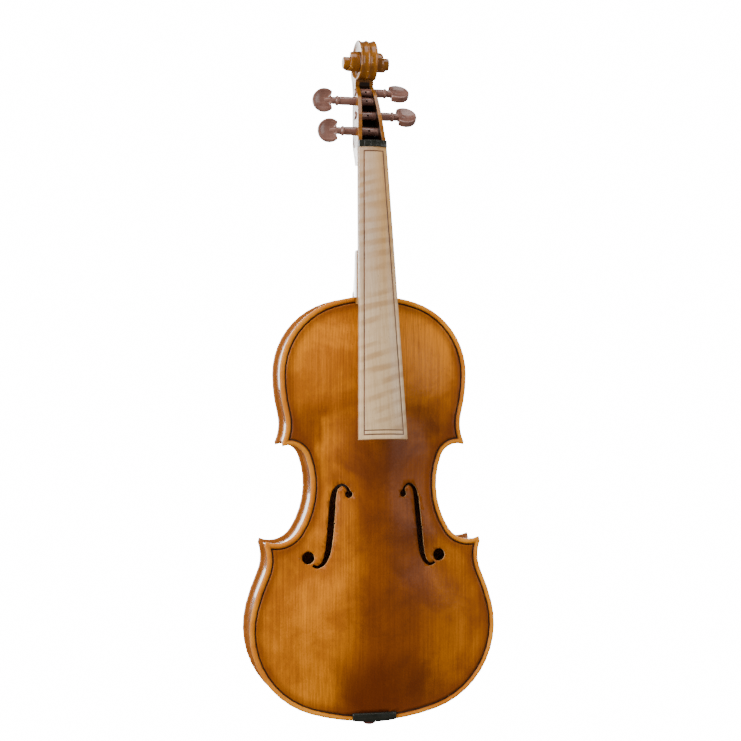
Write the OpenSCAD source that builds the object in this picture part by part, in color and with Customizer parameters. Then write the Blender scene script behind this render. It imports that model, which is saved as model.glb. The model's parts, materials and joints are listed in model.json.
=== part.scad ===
// Violin of baroque pattern: arched spruce front, maple back and ribs, carved maple neck and
// scroll, short inlaid fingerboard and four friction pegs. It is unstrung: no bridge or tailpiece.
// +X is the treble side, -Y faces the player's audience, +Z runs up to the scroll. The origin is
// on the end button's axis, on the outside of the lower ribs, half way through the rib height.

/* [Body outline] */
// Length of the front plate on the centre line, edge to edge
body_len = 358; // [300:1:430]
// Greatest width of the lower bout
lower_w = 212; // [178:1:255]
// Least width at the waist
waist_w = 108.5; // [92:0.5:130]
// Greatest width of the upper bout
upper_w = 161.5; // [135:0.5:194]

/* [Ribs and plates] */
// Height of the ribs between the plates
rib_h = 30; // [25:0.5:38]
// Thickness of a rib
rib_t = 1.1; // [0.8:0.1:1.6]
// How far the plates stand out past the ribs
overhang = 2.5; // [1.5:0.1:3]
// Thickness of a plate at its raised edge
edge_t = 4; // [3.4:0.1:5]
// Rise of the front plate's arch above the ribs
top_arch = 15.5; // [12:0.5:19]
// Rise of the back plate's arch above the ribs
back_arch = 15; // [12:0.5:19]
// Wood left in the front plate after hollowing
top_t = 3; // [2.4:0.1:3.4]
// Wood left in the middle of the back plate after hollowing
back_t = 4.5; // [3.4:0.1:5.4]
// Distance from the edge to the outside of the purfling
purfling_in = 4; // [3.6:0.1:4.4]
// Width of the purfling strip
purfling_w = 1.3; // [1:0.1:1.5]
// Depth of the purfling strip
purfling_d = 1.6; // [1.2:0.1:1.9]

/* [Sound holes] */
// Height of the notches below the top of the body
body_stop = 193; // [165:1:225]
// Half the distance between the notches of the two holes
f_half_gap = 38; // [32:0.5:43]
// Size of the holes against the full-size pattern
f_size = 1; // [0.8:0.01:1.1]

/* [Neck and fingerboard] */
// Length of the neck from the top of the body to the nut
neck_stop = 125; // [104:1:150]
// Lean of the fingerboard out from the body
board_slope = 8.3; // [6:0.1:9.5]
// Length of the fingerboard
board_len = 248; // [206:1:298]
// Width of the fingerboard at the nut
board_w_nut = 24; // [22:0.5:28]
// Width of the fingerboard at its free end
board_w_end = 41; // [36:0.5:48]
// Thickness of the fingerboard at its long edges
board_side = 5; // [4:0.1:6]
// Radius of the fingerboard's crown
board_r = 42; // [36:1:60]
// Height of the neck's glue face above the front plate's edge
overstand = 8.5; // [6:0.5:11]
// Width of the heel where it meets the back plate's button
heel_button_w = 21; // [18:0.5:25]
// Length of the nut along the neck
nut_len = 5.5; // [4:0.1:7]

/* [Pegbox and scroll] */
// Lean of the pegbox back from upright
pegbox_lean = 21; // [16:0.5:26]
// Length of the pegbox from the nut to the throat, measured upright
pegbox_len = 56; // [50:0.5:66]
// Width of the pegbox at the nut
pegbox_w_nut = 24.5; // [23:0.5:29]
// Width of the pegbox at the throat
pegbox_w_throat = 15.5; // [14:0.5:18]
// Thickness of a pegbox cheek
cheek_t = 3.6; // [3:0.1:5]
// Width across the two eyes of the scroll
scroll_w = 40.5; // [34:0.5:48]
// Radius of the scroll's outer turn at the back
scroll_r = 24.2; // [20:0.1:26]
// Radius of the scroll's eyes
eye_r = 5.3; // [4.5:0.1:6]

/* [Pegs and button] */
// Diameter of a peg's shank in the cheek next to its head
peg_shank_d = 7.3; // [6.4:0.1:8]
// Diameter of a peg's shank in the far cheek
peg_tip_d = 6.6; // [5.6:0.1:6.8]
// Width of a peg's head
head_w = 20.4; // [17:0.1:24]
// Length of a peg's head along the peg
head_len = 17; // [14:0.1:20]
// Thickness of a peg's head
head_t = 6; // [4.5:0.1:8]
// Length of shank that shows between the cheek and the bead, before each peg's own difference
peg_reach = 10; // [8:0.5:16]
// Radial gap between a peg and its hole
peg_gap = 0.04; // [0.02:0.01:0.08]
// Diameter of the string hole in a peg
string_hole_d = 1.8; // [1.4:0.1:2.2]
// Diameter of the end button's head
button_d = 11.6; // [10:0.1:14]
// How far the end button stands out of the ribs
button_out = 8.8; // [7:0.1:12]
// Diameter of the end button's shank in the end block
shank_d = 7.4; // [6.5:0.1:8]
// Length of the end button's shank
shank_len = 16; // [12:0.5:19]

/* [Hidden] */
$fn = 48;

// The outline is drawn on a mould: the right half, with its lowest point at the origin, as bows
// [centre, radius, first angle, last angle]. The bouts are convex, the corners and waist concave.
mould_len = 358.4;
low_r = [182, 74, 163, 33.6];
low_turn = [17.2, 87.3, 10];
waist_half = 54.2;
waist_z = 199;
waist_r = [21.2, 70, 15.2];
waist_turn = [32.7, 20.3];
up_r = [36.4, 133.7, 63.7, 121.4];
up_turn = [14.2, 73.2, 17];
low_tip = [92.8, 151];
low_tip_dir = 195;
up_tip = [78.4, 233.2];
up_tip_dir = 168;
tip_gap = 0.25;

function dir(a) = [cos(a), sin(a)];
function heading(v) = atan2(v[1], v[0]);
function smooth(t) = let (u = min(1, max(0, t))) u * u * (3 - 2 * u);
function mix(a, b, t) = a + (b - a) * t;

// Bows of the lower bout, walked up from the bottom of the centre line
low_a1 = low_turn[0] - 90;
low_a2 = low_a1 + low_turn[1];
low_a3 = low_a2 + low_turn[2];
low_c1 = [0, low_r[0]];
low_c2 = low_c1 + (low_r[0] - low_r[1]) * dir(low_a1);
low_c3 = low_c2 + (low_r[1] - low_r[2]) * dir(low_a2);
low_c4 = low_c3 + (low_r[2] + low_r[3]) * dir(low_a3);
// Bows of the waist, walked down and up from its narrowest point
waist_c2 = [waist_half + waist_r[1], waist_z];
waist_a1 = 180 + waist_turn[0];
waist_a3 = 180 - waist_turn[1];
waist_c1 = waist_c2 + (waist_r[1] - waist_r[0]) * dir(waist_a1);
waist_c3 = waist_c2 + (waist_r[1] - waist_r[2]) * dir(waist_a3);
// Bows of the upper bout, walked down from the top of the centre line
up_a3 = 90 - up_turn[2];
up_a2 = up_a3 - up_turn[1];
up_a1 = up_a2 - up_turn[0];
up_c4 = [0, mould_len - up_r[3]];
up_c3 = up_c4 + (up_r[3] - up_r[2]) * dir(up_a3);
up_c2 = up_c3 + (up_r[2] - up_r[1]) * dir(up_a2);
up_c1 = up_c2 + (up_r[1] + up_r[0]) * dir(up_a1);

// Angle at which a corner's bow (centre c, radius r) stops: on the tip's blunt end, or just short
// of the corner's other bow (centre q, radius s). side says which side of the tip it is on.
function tip_angle(c, r, q, s, tip, tip_dir, side) =
    let (span = norm(q - c),
         across = (r * r - s * s + span * span) / (2 * span),
         blunt = side * acos(max(-1, min(1, (tip - c) * dir(tip_dir) / r))),
         cross = heading(q - c) - side * (acos(max(-1, min(1, across / r))) + tip_gap / r * 57.3),
         cross_in = (cross - tip_dir + 540) % 360 - 180)
    tip_dir + (across >= r ? blunt : side > 0 ? min(blunt, cross_in) : max(blunt, cross_in));

function bow(c, r, a, b, n, from = 0) = [for (i = [from:n]) c + r * dir(a + (b - a) * i / n)];

// The three runs of the outline's right half, moved in by d, from the bottom to the top
function low_run(d) =
    let (end = tip_angle(low_c4, low_r[3] + d, waist_c1, waist_r[0] + d,
                         low_tip + d * dir(low_tip_dir), low_tip_dir, -1))
    concat(bow(low_c1, low_r[0] - d, -90, low_a1, 4),
           bow(low_c2, low_r[1] - d, low_a1, low_a2, 11, 1),
           bow(low_c3, low_r[2] - d, low_a2, low_a3, 2, 1),
           bow(low_c4, low_r[3] + d, low_a3 + 180, end, 5, 1));
function waist_run(d) =
    let (start = tip_angle(waist_c1, waist_r[0] + d, low_c4, low_r[3] + d,
                           low_tip + d * dir(low_tip_dir), low_tip_dir, 1),
         end = tip_angle(waist_c3, waist_r[2] + d, up_c1, up_r[0] + d,
                         up_tip + d * dir(up_tip_dir), up_tip_dir, -1))
    concat(bow(waist_c1, waist_r[0] + d, start, waist_a1, 7),
           bow(waist_c2, waist_r[1] + d, waist_a1, waist_a3, 7, 1),
           bow(waist_c3, waist_r[2] + d, waist_a3, end, 7, 1));
function up_run(d) =
    let (start = tip_angle(up_c1, up_r[0] + d, waist_c3, waist_r[2] + d,
                           up_tip + d * dir(up_tip_dir), up_tip_dir, 1))
    concat(bow(up_c1, up_r[0] + d, start, up_a1 + 180, 5),
           bow(up_c2, up_r[1] - d, up_a1, up_a2, 3, 1),
           bow(up_c3, up_r[2] - d, up_a2, up_a3, 10, 1),
           bow(up_c4, up_r[3] - d, up_a3, 90, 4, 1));
function half_outline(d) = concat(low_run(d), waist_run(d), up_run(d));
low_last = len(low_run(0)) - 1;
waist_last = low_last + len(waist_run(0));
half_last = len(half_outline(0)) - 1;
loop_n = 2 * half_last;

// From the mould to the real body, which may be longer, wider or narrower than the mould
mould_low_half = (low_r[0] - low_r[1]) * sin(low_turn[0]) + low_r[1];
mould_up_half = (up_r[3] - up_r[2]) * sin(up_turn[2]) + up_r[2];
stretch = body_len / mould_len;
function widen(z) = z < waist_z
    ? mix(lower_w / mould_low_half, waist_w / waist_half,
          smooth((z - low_c2[1]) / (waist_z - low_c2[1]))) / 2
    : mix(waist_w / waist_half, upper_w / mould_up_half,
          smooth((z - waist_z) / (up_c3[1] - waist_z))) / 2;
function on_body(p) = [p[0] * widen(p[1]), (p[1] - overhang) * stretch];
function placed(points) = [for (p = points) on_body(p)];
z_top = on_body([0, mould_len])[1];
z_bottom = on_body([0, 0])[1];

// Edge of a plate in section, by distance d in from the outline
crest_in = 1.7;
channel_in = 7;
channel_drop = 1;
function edge_top(d) = edge_t - channel_drop * smooth((d - crest_in) / (channel_in - crest_in));
glue_in = 0.8;
side_low = 0.9;
side_high = 2.7;
shoulder = [0.5, 0.4];

// Inside the channel, each point of the outline runs to its foot on the spine, and the arch rises
// along that line. s is 0 at the channel and 1 at the foot.
foot_low = 60;
foot_low_tip = 122;
foot_up_tip = 262;
foot_up = 306;
foot_mid = 183;
foot_crowding = 1.4;
spine_drop = 0.2;
function foot(i) =
    i <= low_last ? mix(foot_low, foot_low_tip, pow(i / low_last, foot_crowding))
    : i <= waist_last ? mix(foot_low_tip + 1, foot_up_tip - 1,
                            (i - low_last - 1) / (waist_last - low_last - 1))
    : mix(foot_up, foot_up_tip, pow((half_last - i) / (half_last - waist_last - 1), foot_crowding));
function spine_rise(i) =
    1 - spine_drop * pow(abs(foot(i) - foot_mid) / (foot_up - foot_mid), 2.2);
function cross_arch(s) = (1 - cos(180 * pow(s, 0.85))) / 2;

// Round the corners the plate stays low for longer, so that the arch's contours pass them by
corner_flat = 0.3;
corner_reach = 8;
function bump(t) = abs(t) < 1 ? (1 - t * t) * (1 - t * t) : 0;
function flat_to(i) = corner_flat * max(bump((i - low_last - 0.5) / corner_reach),
                                        bump((i - waist_last - 0.5) / corner_reach));
function arch_share(i, s) =
    spine_rise(i) * cross_arch(max(0, (s - flat_to(i)) / (1 - flat_to(i))));

// One ring of plate points [x, height above the ribs, z], right side up and left side down.
// spec is [distance in, s, height at the channel, rise to the top of the arch].
function half_ring(spec) =
    let (edge = half_outline(spec[0]))
    [for (i = [0:half_last])
        let (p = on_body(mix(edge[i], [0, foot(i)], spec[1])))
        [p[0], spec[2] + spec[3] * arch_share(i, spec[1]), p[1]]];
function full_ring(spec) =
    let (half = half_ring(spec))
    concat(half, [for (i = [half_last - 1:-1:1]) [-half[i][0], half[i][1], half[i][2]]]);
function spine_index(j) = j <= half_last ? j : loop_n - j;
function wall_faces(first, second) =
    [for (j = [0:loop_n - 1], upper = [0, 1])
        let (k = (j + 1) % loop_n)
        upper == 0 ? [first + j, first + k, second + k] : [first + j, second + k, second + j]];

inner_steps = [0.72, 0.45, 0.2, 0];
outer_steps = [0, 0.06, 0.13, 0.21, 0.3, 0.4, 0.51, 0.63, 0.76, 0.88];

// A hollowed, arched plate lying on the ribs, with an open groove for its purfling
module plate(arch, hollow) {
    rings = concat(
        [for (s = inner_steps) [channel_in, s, 0, arch - hollow]],
        [[glue_in, 0, 0, 0], [0, 0, side_low, 0], [0, 0, side_high, 0],
         [shoulder[0], 0, edge_t - shoulder[1], 0], [crest_in, 0, edge_t, 0],
         [purfling_in, 0, edge_top(purfling_in), 0],
         [purfling_in, 0, edge_top(purfling_in) - purfling_d, 0],
         [purfling_in + purfling_w, 0, edge_top(purfling_in + purfling_w) - purfling_d, 0],
         [purfling_in + purfling_w, 0, edge_top(purfling_in + purfling_w), 0]],
        [for (s = outer_steps) [channel_in, s, edge_top(channel_in), arch - edge_top(channel_in)]]);
    spine_in = half_ring([channel_in, 1, 0, arch - hollow]);
    spine_out = half_ring([channel_in, 1, edge_top(channel_in), arch - edge_top(channel_in)]);
    n_in = half_last + 1;
    last = n_in + (len(rings) - 1) * loop_n;
    points = concat(spine_in, [for (r = rings) each full_ring(r)], spine_out);
    faces = concat(
        [for (j = [0:loop_n - 1])
            let (k = (j + 1) % loop_n, a = spine_index(j), b = spine_index(k))
            each [[n_in + j, b, n_in + k], [n_in + j, a, b]]],
        [for (r = [0:len(rings) - 2]) each wall_faces(n_in + r * loop_n, n_in + (r + 1) * loop_n)],
        [for (j = [0:loop_n - 1])
            let (k = (j + 1) % loop_n, a = last + loop_n + spine_index(j),
                 b = last + loop_n + spine_index(k))
            each [[last + j, b, a], [last + j, last + k, b]]]);
    on_front() polyhedron(points, faces);
}

// Heights above the ribs run out of the front, or out of the back when mirrored
clear = 2; // how far a cutter runs past what it cuts
module on_front() mirror([0, 1, 0]) translate([0, rib_h / 2, 0]) children();
module on_back() mirror([0, 1, 0]) children();
// Plan shapes drawn across and up the body, given a depth centred on the ribs
module in_plan(depth) rotate([90, 0, 0]) linear_extrude(depth, center = true) children();

// ---- Sound holes ----
// Middle line of the treble hole from its upper eye to its lower eye, from the middle of the
// notches: [across, up, half width]
f_line = [[-14.6, 28.6, 1.6], [-12.8, 32.6, 1.2], [-9, 34.4, 1.2], [-4.6, 31.4, 1.8],
          [-2.2, 24, 2.5], [-1, 12, 2.8], [0, 0, 2.8], [1.3, -13, 2.8], [3, -23.5, 2.5],
          [6, -30.6, 1.9], [10.6, -34, 1.4], [15, -32.4, 1.2]];
f_upper_eye = [-14.6, 26.8, 3.15];
f_lower_eye = [18.6, -26.3, 5.35];
// Notches: how far their tips are from the middle line, their height, and where they are rooted
f_notch_tip = 3.9;
f_notch_h = 2.2;
f_notch_root = 2.4;
f_steps = 4;
function spline(p, i, t) =
    let (a = p[max(0, i - 1)], b = p[i], c = p[min(len(p) - 1, i + 1)],
         d = p[min(len(p) - 1, i + 2)])
    b + t * (c - a) / 2 + t * t * (2 * a - 5 * b + 4 * c - d) / 2
      + t * t * t * (3 * b - a - 3 * c + d) / 2;
f_curve = [for (i = [0:len(f_line) - 2], k = [0:f_steps - 1]) spline(f_line, i, k / f_steps),
           f_line[len(f_line) - 1]];
function f_side(k, side) =
    let (a = f_curve[max(0, k - 1)], b = f_curve[min(len(f_curve) - 1, k + 1)], p = f_curve[k],
         run = [b[0] - a[0], b[1] - a[1]] / norm([b[0] - a[0], b[1] - a[1]]))
    [p[0] - side * run[1] * p[2], p[1] + side * run[0] * p[2]];
f_place = [f_half_gap, z_top - body_stop];
module sound_hole_shape() {
    translate(f_place) scale(f_size) {
        polygon(concat([for (k = [0:len(f_curve) - 1]) f_side(k, 1)],
                       [for (k = [len(f_curve) - 1:-1:0]) f_side(k, -1)]));
        for (eye = [f_upper_eye, f_lower_eye]) translate([eye[0], eye[1]]) circle(eye[2]);
        for (side = [-1, 1]) translate([side * f_notch_root, -side * f_notch_h])
            polygon([[0, f_notch_h / 2], [side * (f_notch_tip - f_notch_root), 0],
                     [0, -f_notch_h / 2]]);
    }
}
module sound_hole_cutter() for (side = [0, 1]) mirror([side, 0, 0])
    translate([0, -rib_h / 2 - top_arch / 2, 0]) in_plan(top_arch + 2 * clear) sound_hole_shape();

// ---- Plates and purfling ----
// The neck's root is let into the ribs and the front plate, and is as wide as the board there
root_depth = 5;
root_w = mix(board_w_nut, board_w_end, neck_stop / board_len) + 0.5;
saddle_w = 38;
saddle_up = 5;
module edge_notch(width, low, high)
    translate([-width / 2, -rib_h / 2 - edge_t - clear, low]) cube([width, edge_t + 2 * clear, high - low]);
module root_notch() edge_notch(root_w, heel_z, z_top + clear);
module saddle_notch() edge_notch(saddle_w, z_bottom - clear, saddle_up);

module top_plate() {
    color("darkgoldenrod") difference() {
        plate(top_arch, top_t);
        sound_hole_cutter();
        root_notch();
        saddle_notch();
    }
}
// The back's button runs up past the outline to cover the end of the heel
button_up = 12;
button_t = edge_t - 0.4;
module button_shape() intersection() {
    hull() for (z = [z_top - heel_button_w, z_top + button_up - heel_button_w / 2])
        translate([0, z]) circle(heel_button_w / 2);
    translate([-heel_button_w, z_top - crest_in]) square(2 * heel_button_w);
}
module back_plate() color("sienna") {
    on_back() plate(back_arch, back_t);
    translate([0, (rib_h + button_t) / 2, 0]) in_plan(button_t) button_shape();
}
module purfling() {
    outer = purfling_in;
    inner = purfling_in + purfling_w;
    rings = [[outer, 0, edge_top(outer), 0], [outer, 0, edge_top(outer) - purfling_d, 0],
             [inner, 0, edge_top(inner) - purfling_d, 0], [inner, 0, edge_top(inner), 0]];
    on_front() polyhedron([for (r = rings) each full_ring(r)],
        [for (r = [0:3]) each wall_faces(r * loop_n, (r + 1) % 4 * loop_n)]);
}
module purfling_top() color("black") difference() {
    purfling();
    root_notch();
    saddle_notch();
}
module purfling_back() color("black") on_back() purfling();

// ---- Ribs, blocks and linings ----
rib_in = overhang + rib_t;
lining_t = 2;
lining_h = 7;
tip_low_in = on_body(low_tip);
tip_up_in = on_body(up_tip);
corner_block_r = 23;
neck_block = [52, 17];
end_block = [50, 15];

function last_of(list) = list[len(list) - 1];
function low_corner(d) = (last_of(low_run(d)) + waist_run(d)[0]) / 2;
function up_corner(d) = (last_of(waist_run(d)) + up_run(d)[0]) / 2;
function whole_run(run, d) =
    run == "lower" ? concat(low_run(d), [low_corner(d)])
    : run == "waist" ? concat([low_corner(d)], waist_run(d), [up_corner(d)])
    : concat([up_corner(d)], up_run(d));
// A strip of one run of the treble side, between two distances in from the edge
module strip(run, outer, inner) {
    back = whole_run(run, inner);
    polygon(placed(concat(whole_run(run, outer), [for (i = [len(back) - 1:-1:0]) back[i]])));
}
module on_side(side) mirror([side == "bass" ? 1 : 0, 0, 0]) children();
// The whole outline, both sides, moved in by d
module plan_shape(d) {
    half = placed(half_outline(d));
    polygon(concat(half, [for (i = [half_last - 1:-1:1]) [-half[i][0], half[i][1]]]));
}
// The heel's tenon, in plan across and through the body
module root_shape() polygon([
    [-root_w / 2, rib_h / 2 + edge_t + overstand * 2], [root_w / 2, rib_h / 2 + edge_t + overstand * 2],
    [root_w / 2, rib_h / 2 + edge_t], [heel_button_w / 2, -rib_h / 2],
    [-heel_button_w / 2, -rib_h / 2], [-root_w / 2, rib_h / 2 + edge_t]]);
module root_pocket() translate([0, 0, heel_z]) mirror([0, 1, 0])
    linear_extrude(root_depth + overhang + clear) root_shape();
module rib(run, side) color("peru") difference() {
    in_plan(rib_h) on_side(side) strip(run, overhang, rib_in);
    root_pocket();
    button_hole();
}
module button_hole() translate([0, 0, -overhang]) cylinder(d = shank_d, h = end_block[1] + 4 * overhang);
module block_shape(which) {
    if (which == "neck") translate([-neck_block[0] / 2, z_top - rib_in - neck_block[1]])
        square([neck_block[0], neck_block[1] + 5]);
    if (which == "end") translate([-end_block[0] / 2, z_bottom])
        square([end_block[0], end_block[1] + rib_in]);
    if (which == "lower") translate(tip_low_in) circle(corner_block_r);
    if (which == "upper") translate(tip_up_in) circle(corner_block_r);
}
module block_neck() color("wheat") difference() {
    in_plan(rib_h) intersection() {
        plan_shape(rib_in);
        block_shape("neck");
    }
    root_pocket();
}
module block_end() color("wheat") difference() {
    in_plan(rib_h) intersection() {
        plan_shape(rib_in);
        block_shape("end");
    }
    button_hole();
}
module block_corner(which, side) color("wheat") in_plan(rib_h) on_side(side) intersection() {
    plan_shape(rib_in);
    block_shape(which);
}
// face is -1 under the front plate and 1 on the back plate
module lining(face, run, side) color("burlywood")
    translate([0, face * (rib_h - lining_h) / 2, 0]) in_plan(lining_h) on_side(side) difference() {
        strip(run, rib_in, rib_in + lining_t);
        block_shape("neck");
        block_shape("end");
        block_shape("lower");
        block_shape("upper");
    }

// ---- Bass bar and sound post ----
bar_len = 252;
bar_w = 5.5;
bar_x = -15.5;
bar_mid = 181;
bar_depth = 11;
bar_end_depth = 3.5;
post_d = 6.3;
post_x = 19;
post_z = 157;
post_rise = 0.82;
// How far a blank runs into the plate that is then cut from it
bite = 1.5;
front_rise = top_arch - top_t;
back_rise = back_arch - back_t;
function bar_top(t) = abs(t) > 0.8 ? front_rise * 0.76 : front_rise - 0.9;
function bar_bottom(t) = mix(front_rise - 2.4 - bar_depth, front_rise * 0.63 - bar_end_depth, t * t);
module bass_bar() color("moccasin") resize([0, 0, 0]) difference() {
    translate([bar_x - bar_w / 2, 0, bar_mid * stretch]) rotate([90, 0, 90]) linear_extrude(bar_w)
        polygon(concat([for (t = [-1:0.2:1]) [-rib_h / 2 - bar_top(t), t * bar_len / 2 * stretch]],
                       [for (t = [1:-0.2:-1])
                           [-rib_h / 2 - bar_bottom(t), t * bar_len / 2 * stretch]]));
    plate(top_arch, top_t);
}
module sound_post() color("moccasin") resize([0, 0, 0]) difference() {
    translate([post_x, rib_h / 2 + back_rise * post_rise + bite, post_z * stretch]) rotate([90, 0, 0])
        cylinder(d = post_d, h = rib_h + (front_rise + back_rise) * post_rise + 2 * bite, $fn = 32);
    plate(top_arch, top_t);
    on_back() plate(back_arch, back_t);
}

// ---- Fingerboard, nut and saddle ----
// The glue face of the neck: its own Y runs up the neck from the nut, its own Z out of the front
nut_z = z_top + neck_stop;
glue_y_body = -rib_h / 2 - edge_t - overstand;
glue_y_nut = glue_y_body + neck_stop * tan(board_slope);
module on_neck() translate([0, glue_y_nut, nut_z]) rotate([90 - board_slope, 0, 0]) children();
function board_half(y) = mix(board_w_nut, board_w_end, -y / board_len) / 2;
function sag(half) = board_r - sqrt(board_r * board_r - half * half);
crown_nut = board_side + sag(board_w_nut / 2);
crown_end = board_side + sag(board_w_end / 2);
crown_lean = atan((crown_end - crown_nut) / board_len);
// A round bar whose upper surface is the fingerboard's crown, lowered by depth
module crown_bar(depth = 0) translate([0, 20 * cos(crown_lean), crown_nut - 20 * sin(crown_lean)])
    rotate([90 - crown_lean, 0, 0]) translate([0, -board_r, 0])
        cylinder(r = board_r - depth, h = board_len + 40, $fn = 180);
module board_shape(inset = 0) polygon([
    [-board_half(0) + inset, -inset], [board_half(0) - inset, -inset],
    [board_half(-board_len) - inset, -board_len + inset],
    [-board_half(-board_len) + inset, -board_len + inset]]);
inlay_in = 3.4;
inlay_w = 0.9;
inlay_d = 0.9;
inlay_end_gap = 2.6;
inlay_end_w = 0.8;
module inlay_shape() {
    difference() {
        board_shape(inlay_in);
        board_shape(inlay_in + inlay_w);
    }
    translate([0, -board_len + inlay_in + inlay_w + inlay_end_gap]) intersection() {
        translate([-board_w_end / 2, 0]) square([board_w_end, inlay_end_w]);
        translate([0, board_len - inlay_in - inlay_w - inlay_end_gap]) board_shape(inlay_in);
    }
}
board_hollow_r = 26;
board_hollow_len = 100;
module fingerboard() color("burlywood") on_neck() difference() {
    intersection() {
        linear_extrude(crown_end + 2) board_shape();
        crown_bar();
    }
    difference() {
        translate([0, 0, 1]) linear_extrude(crown_end + 2) inlay_shape();
        crown_bar(inlay_d);
    }
    translate([0, -board_len + board_hollow_len, -board_hollow_r + 4]) rotate([90, 0, 0])
        cylinder(r = board_hollow_r, h = board_hollow_len + 1);
}
module board_inlay() color("saddlebrown") on_neck() difference() {
    intersection() {
        translate([0, 0, 1]) linear_extrude(crown_end + 2) inlay_shape();
        crown_bar();
    }
    crown_bar(inlay_d);
}
nut_proud = 0.9;
nut_slots = 4;
nut_slot_pitch = 5.4;
nut_slot_d = 0.9;
module nut() color("darkslategray") on_neck() difference() {
    intersection() {
        translate([-board_w_nut / 2, 0, 0]) cube([board_w_nut, nut_len, crown_nut + nut_proud]);
        translate([0, 0, nut_proud]) crown_bar();
    }
    for (i = [0:nut_slots - 1])
        let (x = (i - (nut_slots - 1) / 2) * nut_slot_pitch)
            translate([x, -1, crown_nut + nut_proud - sag(abs(x))])
                rotate([-90, 0, 0]) cylinder(d = nut_slot_d, h = nut_len + 2, $fn = 16);
}
saddle_proud = 3.2;
saddle_r = 90;
module saddle() color("black") intersection() {
    translate([-saddle_w / 2, -rib_h / 2 - edge_t - saddle_proud, z_bottom])
        cube([saddle_w, edge_t + saddle_proud, saddle_up - z_bottom]);
    in_plan(rib_h + 2 * (edge_t + saddle_proud)) plan_shape(0);
    translate([0, saddle_r - rib_h / 2 - edge_t - saddle_proud, z_bottom])
        cylinder(r = saddle_r, h = saddle_up - z_bottom, $fn = 180);
}

// ---- Neck, pegbox and scroll ----
function bezier(a, b, c, d, n, from = 0) = [for (i = [from:n])
    let (t = i / n, u = 1 - t)
    u * u * u * a + 3 * u * u * t * b + 3 * u * t * t * c + t * t * t * d];
// Shapes drawn in the side view, back and up, given a width across the centre line
module in_side(width) rotate([90, 0, 90]) linear_extrude(width, center = true) children();

function glue_y(z) = glue_y_nut - (nut_z - z) * tan(board_slope);
pegbox_z = nut_z + nut_len;
pegbox_y = glue_y_nut - 2;
throat_z = pegbox_z + pegbox_len;
throat_y = pegbox_y + pegbox_len * tan(pegbox_lean);
eye = [throat_y + 2.7, throat_z + 14.2];
scroll_decay = 0.001925;
function spiral(a) = eye + scroll_r * exp(-scroll_decay * a) * dir(a);
chin_y = pegbox_y + 22;
neck_r_nut = board_w_nut / 2 + 0.2;
neck_r_heel = mix(board_w_nut, board_w_end, neck_stop / board_len) / 2;
// The neck's back, where the pegbox's chin begins below the nut
chin_len = 14;
chin_start = [glue_y(nut_z - chin_len) + neck_r_nut / cos(board_slope) - 0.6, nut_z - chin_len];
chin = [chin_y, pegbox_z];
back_top = [throat_y + 15, throat_z - 13];
scroll_back = spiral(-8);
pegbox_back = concat(
    bezier(chin_start, chin_start + [3, 9], chin - [3, 8], chin, 6),
    bezier(chin, chin + [5, 14], back_top - [4, 17], back_top, 6, 1),
    bezier(back_top, back_top + [4, 10], scroll_back - [0.4, 8], scroll_back, 6, 1));
// Side view of the pegbox, from the nut up the front to the scroll's eye and down the back
// The front edge of the cheeks rises nearly straight, then curls back under the scroll
front_low = [pegbox_y, pegbox_z];
throat_end = [throat_y + 7, throat_z - 4.5];
pegbox_front = bezier(front_low, front_low + [6, 20], [throat_y - 9, throat_z - 12], throat_end, 8);
pegbox_profile = concat([[pegbox_y + 2, nut_z - chin_len]], pegbox_front, [eye],
                        [for (i = [len(pegbox_back) - 1:-1:0]) pegbox_back[i]]);
scroll_top_z = eye[1] + scroll_r;
module front_taper(less = 0) {
    wide = pegbox_w_nut / 2 - less;
    narrow = pegbox_w_throat / 2 - less;
    polygon([[-wide, nut_z - 40], [wide, nut_z - 40], [wide, pegbox_z], [narrow, throat_z],
             [narrow, scroll_top_z + 5], [-narrow, scroll_top_z + 5], [-narrow, throat_z],
             [-wide, pegbox_z]]);
}
// The hollow of the pegbox in side view, open at the front
floor_t = 5.5;
hollow_low = pegbox_z + 1.5;
hollow_top = throat_z - 6;
cavity_profile = [
    [pegbox_y - floor_t, hollow_low], [chin[0] - floor_t - 3, hollow_low],
    [chin[0] - floor_t + 2.4, hollow_low + 6.5], [back_top[0] - floor_t, back_top[1]],
    [back_top[0] - floor_t + 1.5, hollow_top], [pegbox_y - floor_t, hollow_top]];
function cheek_half(z) = mix(pegbox_w_nut, pegbox_w_throat, (z - pegbox_z) / pegbox_len) / 2;

// Pegs from the nut up, G, E, D and A: share of the pegbox's length, distance in from the line
// between its ends, side of the head, turn of the head, and what is added to the length that shows
peg_share = [0.1875, 0.4375, 0.67, 0.815];
peg_in = [10.3, 9.6, 8.8, 8.8];
peg_side = [-1, 1, -1, 1];
peg_turn = [0, 43, 0, 50];
peg_more = [-0.3, 0.3, 4.6, -2.7];
function peg_z(i) = pegbox_z + peg_share[i] * pegbox_len;
function peg_y(i) = pegbox_y + peg_share[i] * pegbox_len * tan(pegbox_lean) + peg_in[i];
module at_peg(i) translate([0, peg_y(i), peg_z(i)]) mirror([peg_side[i] < 0 ? 1 : 0, 0, 0]) children();
module peg_holes() for (i = [0:3]) at_peg(i) rotate([0, 90, 0]) {
    cylinder(d = peg_shank_d + 2 * peg_gap, h = pegbox_w_nut);
    translate([0, 0, -pegbox_w_nut]) cylinder(d = peg_tip_d + 2 * peg_gap, h = pegbox_w_nut);
}

heel_z = z_top - overhang - root_depth;
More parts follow.
